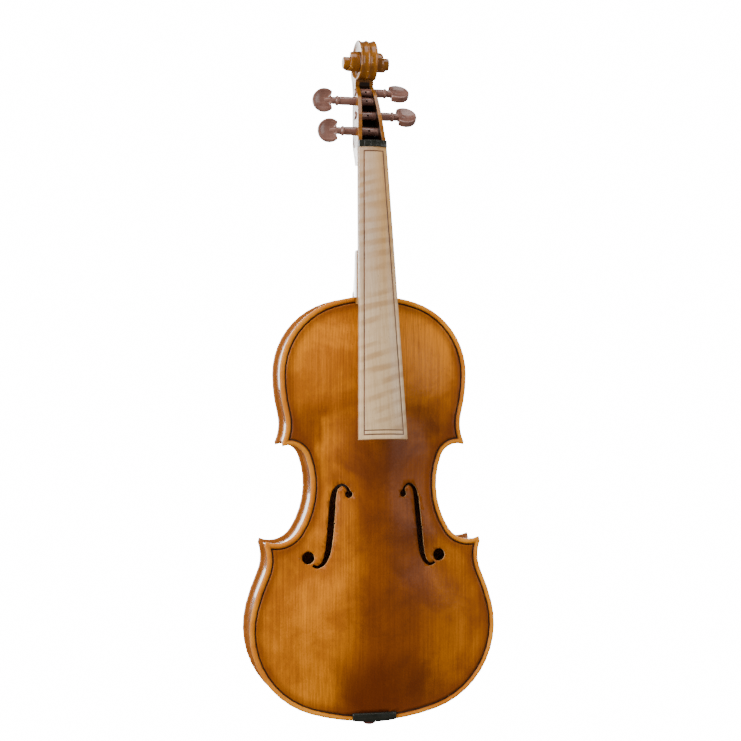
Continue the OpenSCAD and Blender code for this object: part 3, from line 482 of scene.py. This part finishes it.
# ---- Neck ----
# Maple, carved in one with the pegbox and scroll: a rounded shaft that swells to the heel. Hands
# have rubbed the shaft nearly bare, and the varnish is thick on the heel and the pegbox.
neck_low, neck_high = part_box("neck")
nut_low, nut_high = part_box("nut")
pegbox_z = nut_high.z - 0.0011
shaft = worked_copy("neck", "neck_shaft", "maple_neck", angle=40, bevel=0.0005)
only(shaft)
bpy.ops.object.mode_set(mode="EDIT")
bpy.ops.mesh.select_all(action="SELECT")
bpy.ops.mesh.bisect(plane_co=(0, 0, pegbox_z - 0.004), plane_no=(0, 0, 1), clear_outer=True, use_fill=True)
bpy.ops.object.mode_set(mode="OBJECT")
finish_mesh(shaft, 40)
maple_neck, tree, shader, point, base, relief, age = flamed_maple(
    "maple_neck", (0.27, 0.088, 0.003), (0.085, 0.019, 0.0005), (0.36, 0.14, 0.012), 0.3, 0.6, 0.1, 0.0085,
    patch=0.022, flame=0.6)
shader.inputs["Specular IOR Level"].default_value = 0.25
curved = add_node(tree, "ShaderNodeNewGeometry").outputs["Pointiness"]
# Convex edges and ridges are painted paler: partly rubbed wear, partly a painted highlight
worn = sums(tree, "MULTIPLY", ramp(tree, curved, 0.53, 0.575), ramp(tree, age["Patches"], 0.0, 1.0, 0.9, 0.6))
base = blended(tree, worn, base, (0.62, 0.34, 0.10))
# Painted shade: the hollows and flutes are painted nearly black
base = blended(tree, ramp(tree, curved, 0.495, 0.465), base, (0.018, 0.005, 0.001))
across, through, up = add_node(tree, "ShaderNodeSeparateXYZ", {0: point}).outputs
# Painted shade: the hollow of the pegbox, up to the throat under the scroll, is painted nearly black
height = sums(tree, "SUBTRACT", up, pegbox_z)
wall_gap = sums(tree, "SUBTRACT", sums(tree, "SUBTRACT", 0.0091, sums(tree, "MULTIPLY", height, 0.0821)),
                sums(tree, "ABSOLUTE", across))
floor_gap = sums(tree, "SUBTRACT", sums(tree, "ADD", 0.0068, sums(tree, "MULTIPLY", height, 0.346)), through)
inside = sums(tree, "MULTIPLY", ramp(tree, wall_gap, 0.0, 0.0004), ramp(tree, floor_gap, 0.0, 0.001))
inside = sums(tree, "MULTIPLY", inside, ramp(tree, height, 0.0008, 0.0018))
inside = sums(tree, "MULTIPLY", inside, ramp(tree, height, 0.0575, 0.054))
base = blended(tree, inside, base, (0.012, 0.005, 0.002))
handled = sums(tree, "MULTIPLY", ramp(tree, up, neck_low.z + 0.035, neck_low.z + 0.06),
               ramp(tree, up, pegbox_z - 0.004, pegbox_z - 0.03))
base = blended(tree, sums(tree, "MULTIPLY", handled, 0.7), base, (0.52, 0.30, 0.13))
surface(tree, shader, base, relief, 0.00005)
shaft.data.materials.append(maple_neck)

# ---- Pegbox and scroll ----
# Two tapering cheeks over a thick floor, then a volute of about two turns that widens to its
# eyes. Its back and front are gouged into two flutes with a ridge between. Extruding and spinning
# can't give a turn that climbs sideways, so the turns are laid ring by ring along their spiral.
scroll_half = neck_high.x
eye_r = 0.0053
eye = Vector((0.0, 0.01293, neck_high.z - 0.02035))
outer_r, decay = 0.0240, 0.001925
throat = Vector((0.0, eye.y - 0.0027, eye.z - 0.0142))
front_low = Vector((0.0, throat.y - 0.0215, pegbox_z))
chin = front_low + Vector((0, 0.022, 0))
half_low, half_top = 0.01225, 0.00765
cheek = 0.0036


def half_width(z):
    share = min(1.0, max(0.0, (z - pegbox_z) / (throat.z - pegbox_z)))
    return half_low + (half_top - half_low) * share


def turn_point(angle):
    a = math.radians(angle)
    return eye + outer_r * math.exp(-decay * angle) * Vector((0, math.cos(a), math.sin(a)))


def smooth_step(value):
    t = min(1.0, max(0.0, value))
    return t * t * (3 - 2 * t)


def bow(a, b, c, d, count):
    return [(1 - t) ** 3 * a + 3 * (1 - t) ** 2 * t * b + 3 * (1 - t) * t * t * c + t ** 3 * d
            for t in (i / count for i in range(count))]


first_turn, last_turn, turn_step = -8, 752, 5
back_top = throat + Vector((0, 0.015, -0.013))
scroll_back = turn_point(first_turn)
chin_low = Vector((0, chin.y - 0.0098, pegbox_z - 0.0185))
spine = (bow(chin_low, chin_low + Vector((0, 0.003, 0.009)), chin - Vector((0, 0.003, 0.008)), chin, 12)
         + bow(chin, chin + Vector((0, 0.005, 0.014)), back_top - Vector((0, 0.004, 0.017)), back_top, 22)
         + bow(back_top, back_top + Vector((0, 0.004, 0.010)), scroll_back - Vector((0, 0.0004, 0.008)),
               scroll_back, 14))
straight_rings = len(spine)
spine += [turn_point(a) for a in range(first_turn, last_turn + 1, turn_step)]
flute_depth = 0.0012


def section(index):
    """One ring of the fluted band: the outer face from side to side, then back along the inside."""
    here = spine[index]
    before, after = spine[max(0, index - 1)], spine[min(len(spine) - 1, index + 1)]
    along = (after - before).normalized()
    inward = Vector((0, -along.z, along.y))
    angle = first_turn + turn_step * (index - straight_rings)
    if index < straight_rings:
        half = half_width(here.z)
        thick = 0.0042 + 0.0098 * smooth_step((index - 36) / 12)
        flute = flute_depth * smooth_step(index / 6)
        dish = 0.0
    else:
        half = (half_top - 0.0002 + 0.0071 * smooth_step((angle - 190) / 330)
                + (scroll_half - half_top - 0.0075) * smooth_step((angle - 520) / 210))
        thick = (eye - here).length * 0.58
        inward = (eye - here).normalized()
        flute = flute_depth * smooth_step((430 - angle) / 120)
        dish = 0.0011 * smooth_step((angle - first_turn) / 60)
    ring = []
    for step in range(-8, 9):
        share = abs(step) / 8
        drop = flute * max(0.0, math.sin(math.pi * min(1.0, share / 0.86))) ** 0.75 + 0.0006 * (share > 0.99)
        ring.append(here + inward * drop + Vector((half * step / 8, 0, 0)))
    ring.append(here + inward * (thick * 0.45) + Vector((half - dish, 0, 0)))
    ring.append(here + inward * thick + Vector((half - dish * 1.5, 0, 0)))
    ring.append(here + inward * thick + Vector((-half + dish * 1.5, 0, 0)))
    ring.append(here + inward * (thick * 0.45) + Vector((-half + dish, 0, 0)))
    return ring


def ringed_solid(name, rings):
    n = len(rings[0])
    faces = [tuple(range(n))[::-1], tuple(n * (len(rings) - 1) + i for i in range(n))]
    for r in range(len(rings) - 1):
        faces += [(n * r + i, n * r + (i + 1) % n, n * (r + 1) + (i + 1) % n, n * (r + 1) + i)
                  for i in range(n)]
    mesh = bpy.data.meshes.new(name)
    mesh.from_pydata([p for ring in rings for p in ring], [], faces)
    made = bpy.data.objects.new(name, mesh)
    bpy.context.scene.collection.objects.link(made)
    only(made)
    bpy.ops.object.mode_set(mode="EDIT")
    bpy.ops.mesh.select_all(action="SELECT")
    bpy.ops.mesh.normals_make_consistent(inside=False)
    bpy.ops.object.mode_set(mode="OBJECT")
    return made


def cut_away(piece, tool):
    only(piece)
    cut = piece.modifiers.new("cut", "BOOLEAN")
    cut.operation, cut.solver, cut.object = "DIFFERENCE", "EXACT", tool
    bpy.ops.object.modifier_apply(modifier=cut.name)
    bpy.data.objects.remove(tool)


def side_block(name, outline, less):
    return ringed_solid(name, [[p + Vector((side * (half_width(p.z) - less), 0, 0)) for p in outline]
                               for side in (-1, 1)])


def inset_spine(index, depth):
    along = (spine[index + 1] - spine[max(0, index - 1)]).normalized()
    return spine[index] + depth * Vector((0, -along.z, along.y))


glue_lean = math.tan(math.radians(8.3))
chin_drop = 0.0185
under_nut = Vector((0, front_low.y + 0.002 - chin_drop * glue_lean + 0.001, pegbox_z - chin_drop))
throat_end = throat + Vector((0, 0.007, -0.0045))
cheek_front = bow(front_low, front_low + Vector((0, 0.006, 0.020)), throat + Vector((0, -0.009, -0.012)),
                  throat_end, 10)
pegbox = side_block("pegbox_and_scroll", [under_nut, Vector((0, front_low.y + 0.0022, nut_low.z)),
                                          Vector((0, front_low.y + 0.0022, pegbox_z - 0.0002))] + cheek_front
                    + [throat_end, eye, turn_point(-20) * 0.6 + eye * 0.4]
                    + [inset_spine(i, 0.0021) for i in range(straight_rings - 6, 0, -3)], 0.0)
floor_t = 0.0055
hollow = side_block("pegbox_hollow", [
    Vector((0, front_low.y - floor_t, pegbox_z + 0.0015)),
    Vector((0, chin.y - floor_t - 0.003, pegbox_z + 0.0015)),
    Vector((0, chin.y - floor_t + 0.0024, pegbox_z + 0.008)), Vector((0, back_top.y - floor_t, back_top.z)),
    Vector((0, back_top.y - floor_t + 0.0015, throat.z - 0.006)),
    Vector((0, front_low.y - floor_t, throat.z - 0.006))],
    cheek)
cut_away(pegbox, hollow)
pegs = [entry for entry in frame["joints"] if entry["name"].startswith("peg_")]
for entry in pegs:
    bpy.ops.object.select_all(action="DESELECT")
    bpy.ops.mesh.primitive_cylinder_add(vertices=40, radius=0.0037, depth=0.04, location=entry["pos_m"],
                                        rotation=(0, math.pi / 2, 0))
    cut_away(pegbox, bpy.context.object)
volute = ringed_solid("volute", [section(i) for i in range(len(spine))])
bpy.ops.object.select_all(action="DESELECT")
bpy.ops.mesh.primitive_cylinder_add(vertices=64, radius=eye_r, depth=2 * scroll_half - 0.0003, location=eye,
                                    rotation=(0, math.pi / 2, 0))
eyes = bpy.context.object
bpy.ops.object.transform_apply(location=True, rotation=True, scale=True)
domed = eyes.modifiers.new("domed", "BEVEL")
domed.width, domed.segments, domed.angle_limit = 0.0009, 3, math.radians(60)
bpy.ops.object.modifier_apply(modifier=domed.name)
bpy.ops.object.select_all(action="DESELECT")
for part in (volute, eyes, pegbox):
    part.select_set(True)
bpy.context.view_layer.objects.active = pegbox
bpy.ops.object.join()
carved = pegbox.modifiers.new("carved", "REMESH")
carved.mode, carved.voxel_size, carved.use_smooth_shade = "VOXEL", 0.00036, True
bpy.ops.object.modifier_apply(modifier=carved.name)
scraped = pegbox.modifiers.new("scraped", "SMOOTH")
scraped.factor, scraped.iterations = 0.5, 3
bpy.ops.object.modifier_apply(modifier=scraped.name)
put_in_place(pegbox, "instrument", "maple_neck", "neck")
pegbox.data.materials.clear()
pegbox.data.materials.append(maple_neck)

# ---- Fingerboard ----
# A short board of pale flamed maple on a light core, polished but not varnished, with a thin dark
# line let in all round and a second line across its lower end.
board = worked_copy("fingerboard", "fingerboard_veneered", "board_veneer", angle=30, bevel=0.0004)
veneer, tree, shader, point = new_finish("board_veneer", 0.34, 0.35, 0.16)
grain = place_group(tree, flamed_grain, {"Point": stretched(tree, point, (1, 1, 1), (0, 0.25, 0)),
                                         "Flame pitch": 0.010})
lines = place_group(tree, straight_grain, {"Point": point, "Line pitch": 0.0016})
age = place_group(tree, old_varnish, {"Point": point, "Patch size": 0.03})
across, through, up = add_node(tree, "ShaderNodeSeparateXYZ", {0: point}).outputs
# Painted reflection: the bass side of the board is painted paler and greyer than its golden treble side, and
# its lower end is painted lighter
tone_and_painted_reflection = blended(tree, ramp(tree, across, -0.006, 0.009), (0.52, 0.38, 0.26), (0.56, 0.31, 0.10))
tone_and_painted_reflection = blended(tree, ramp(tree, up, 0.42, 0.29), tone_and_painted_reflection, (0.70, 0.49, 0.27))
base = blended(tree, sums(tree, "MULTIPLY", grain["Flames"], 0.6), tone_and_painted_reflection, (0.34, 0.16, 0.04))
base = blended(tree, sums(tree, "MULTIPLY", lines["Streaks"], 0.35), base, (0.36, 0.20, 0.085))
base = blended(tree, sums(tree, "MULTIPLY", age["Patches"], 0.25), base, (0.50, 0.27, 0.10))
base = blended(tree, sums(tree, "MULTIPLY", grain["Pores"], 0.45), base, (0.20, 0.10, 0.04))
surface(tree, shader, base, grain["Fibres"], 0.00004, ramp(tree, age["Patches"], 0.0, 1.0, 0.28, 0.42))
board.data.materials.append(veneer)
line_wood, tree, shader, point = new_finish("board_line", 0.45, 0.2, 0.3)
age = place_group(tree, old_varnish, {"Point": point, "Patch size": 0.012})
base = blended(tree, age["Patches"], (0.085, 0.030, 0.012), (0.17, 0.065, 0.028))
surface(tree, shader, base, age["Scratches"], -0.00003)
frame["nodes"]["board_inlay"].data.materials.clear()
frame["nodes"]["board_inlay"].data.materials.append(line_wood)

# ---- Nut and saddle ----
# Small bearers of ebony, rounded by hand and polished. The nut has four string grooves, and the
# saddle is let into the front plate's edge to carry the tailpiece's gut.
ebony, tree, shader, point = new_finish("ebony", 0.4, 0.1, 0.2)
age = place_group(tree, old_varnish, {"Point": point, "Patch size": 0.004})
grain = place_group(tree, straight_grain, {"Point": stretched(tree, point, (1, 1, 1), (0, math.pi / 2, 0)),
                                           "Line pitch": 0.0007})
base = blended(tree, grain["Streaks"], (0.007, 0.009, 0.006), (0.018, 0.017, 0.011))
base = blended(tree, sums(tree, "MULTIPLY", age["Specks"], 0.5), base, (0.06, 0.05, 0.035))
surface(tree, shader, base, sums(tree, "ADD", grain["Streaks"], age["Scratches"]), 0.00003,
        ramp(tree, age["Patches"], 0.0, 1.0, 0.22, 0.42))
for name in ("nut", "saddle"):
    softened = 0.0003 if name == "nut" else 0.001
    bearer = worked_copy(name, name + "_polished", "ebony", angle=35, bevel=softened, steps=3)
    bearer.data.materials.append(ebony)

# ---- End button ----
# Turned rosewood, a short neck and a rimmed head, its shank pushed into the end block. The
# tailpiece's gut loops round its neck.
button = worked_copy("end_button", "end_button_turned", "rosewood_button", angle=32, bevel=0.0003)
rosewood, tree, shader, point = new_finish("rosewood_button", 0.3, 0.4, 0.12)
age = place_group(tree, old_varnish, {"Point": point, "Patch size": 0.006})
grain = place_group(tree, straight_grain, {"Point": point, "Line pitch": 0.0009})
base = blended(tree, sums(tree, "MULTIPLY", grain["Lines"], 0.6), (0.13, 0.020, 0.012), (0.035, 0.006, 0.004))
base = blended(tree, sums(tree, "MULTIPLY", age["Patches"], 0.4), base, (0.20, 0.045, 0.02))
surface(tree, shader, base, grain["Streaks"], 0.00004)
button.data.materials.append(rosewood)

# ---- Pegs ----
# Four turned friction pegs of reddish wood. Each has a tapered shank through both cheeks, a bead,
# a collar and a flat round head, hollowed on both faces for the fingers, with a small pin on top.
peg_wood, tree, shader, point = new_finish("peg_wood", 0.3, 0.45, 0.14)
age = place_group(tree, old_varnish, {"Point": point, "Patch size": 0.008})
grain = place_group(tree, straight_grain, {"Point": stretched(tree, point, (1, 1, 1), (0, math.pi / 2, 0)),
                                           "Line pitch": 0.0014})
base = blended(tree, sums(tree, "MULTIPLY", grain["Streaks"], 0.7), (0.20, 0.088, 0.062),
               (0.095, 0.036, 0.024))
base = blended(tree, sums(tree, "MULTIPLY", age["Patches"], 0.4), base, (0.25, 0.13, 0.10))
curved = add_node(tree, "ShaderNodeNewGeometry").outputs["Pointiness"]
# Painted highlight: convex edges and rims of the pegs are painted paler
base = blended(tree, ramp(tree, curved, 0.53, 0.62), base, (0.42, 0.25, 0.20))
# Painted shade: hollows and creases of the pegs are painted dark
base = blended(tree, ramp(tree, curved, 0.47, 0.40), base, (0.04, 0.014, 0.010))
surface(tree, shader, base, grain["Streaks"], 0.00004)
head_turn = {"peg_g": 0, "peg_e": 43, "peg_d": 0, "peg_a": 50}
head_r, head_long, head_half = 0.0102, 0.017, 0.00298
# Section of a head from its middle to its rim: share of the way out, and half the thickness there
head_section = [(0.02, 0.00135), (0.3, 0.00142), (0.55, 0.0019), (0.75, 0.0026), (0.85, 0.00292),
                (0.91, head_half), (0.96, 0.00275), (0.99, 0.0021), (1.0, 0.0012)]


def head_edge(angle):
    """How far the head's edge is from its middle: round, with two ears and a hollow by the collar."""
    back = math.pi - abs((angle + math.pi) % (2 * math.pi) - math.pi)
    ear = math.radians(50)
    flat = (head_long - head_r) / max(0.2, math.cos(back)) if back < ear else head_r
    notch = 0.0012 * math.exp(-((back - math.radians(33)) / math.radians(9)) ** 2)
    return min(head_r, flat) - notch


for entry in pegs:
    name = entry["name"].replace("_turn", "")
    side = -1 if name in ("peg_g", "peg_d") else 1
    centre = Vector(entry["pos_m"])
    low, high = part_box(name)
    tip = max(high.x, -low.x)
    far_end = -min(high.x, -low.x)
    cheek_out = -far_end - 0.0006
    bead = tip - head_long - 0.0056
    turning = [(far_end, 0.0002), (far_end, 0.0027), (far_end + 0.0006, 0.0033), (0.0, 0.00345),
               (cheek_out - 0.0046, 0.00365), (bead - 0.0022, 0.00365), (bead - 0.0005, 0.0034),
               (bead, 0.0036), (bead + 0.0003, 0.0041), (bead + 0.0011, 0.00425),
               (bead + 0.0018, 0.0041), (bead + 0.0023, 0.0035), (bead + 0.0027, 0.0031),
               (bead + 0.0040, 0.0032), (bead + 0.0060, 0.0030), (bead + 0.0115, 0.0022),
               (bead + 0.0135, 0.0009)]
    spokes = [Vector((0, math.cos(math.tau * k / 40), math.sin(math.tau * k / 40))) for k in range(40)]
    stem = ringed_solid(name + "_turned", [[centre + Vector((side * x, 0, 0)) + r * spoke for spoke in spokes]
                                           for x, r in turning])
    turned = math.radians(-head_turn[name] * side)
    flat_way = Vector((0, math.cos(turned), math.sin(turned)))
    wide_way = Vector((0, -math.sin(turned), math.cos(turned)))
    middle = centre + Vector((side * (tip - head_r), 0, 0))
    loop = []
    for k in range(72):
        angle = math.tau * k / 72
        loop.append(head_edge(angle) * (math.cos(angle) * Vector((side, 0, 0)) + math.sin(angle) * wide_way))
    rings = [[middle + share * p + half * flat_way for p in loop] for share, half in head_section]
    rings += [[middle + share * p - half * flat_way for p in loop] for share, half in head_section[::-1]]
    head = ringed_solid(name + "_head", rings)
    bpy.ops.object.select_all(action="DESELECT")
    bpy.ops.mesh.primitive_uv_sphere_add(segments=16, ring_count=8, radius=0.0009,
                                         location=centre + Vector((side * (tip - 0.0009), 0, 0)))
    pin = bpy.context.object
    bpy.ops.object.select_all(action="DESELECT")
    bpy.ops.mesh.primitive_cylinder_add(vertices=24, radius=0.0009, depth=0.012, location=centre,
                                        rotation=(math.pi / 2, 0, 0))
    cut_away(stem, bpy.context.object)
    bpy.ops.object.select_all(action="DESELECT")
    for part in (pin, head, stem):
        part.select_set(True)
    bpy.context.view_layer.objects.active = stem
    bpy.ops.object.join()
    finish_mesh(stem, 38)
    put_in_place(stem, name + "_body", "peg_wood", name)
    stem.data.materials.clear()
    stem.data.materials.append(peg_wood)
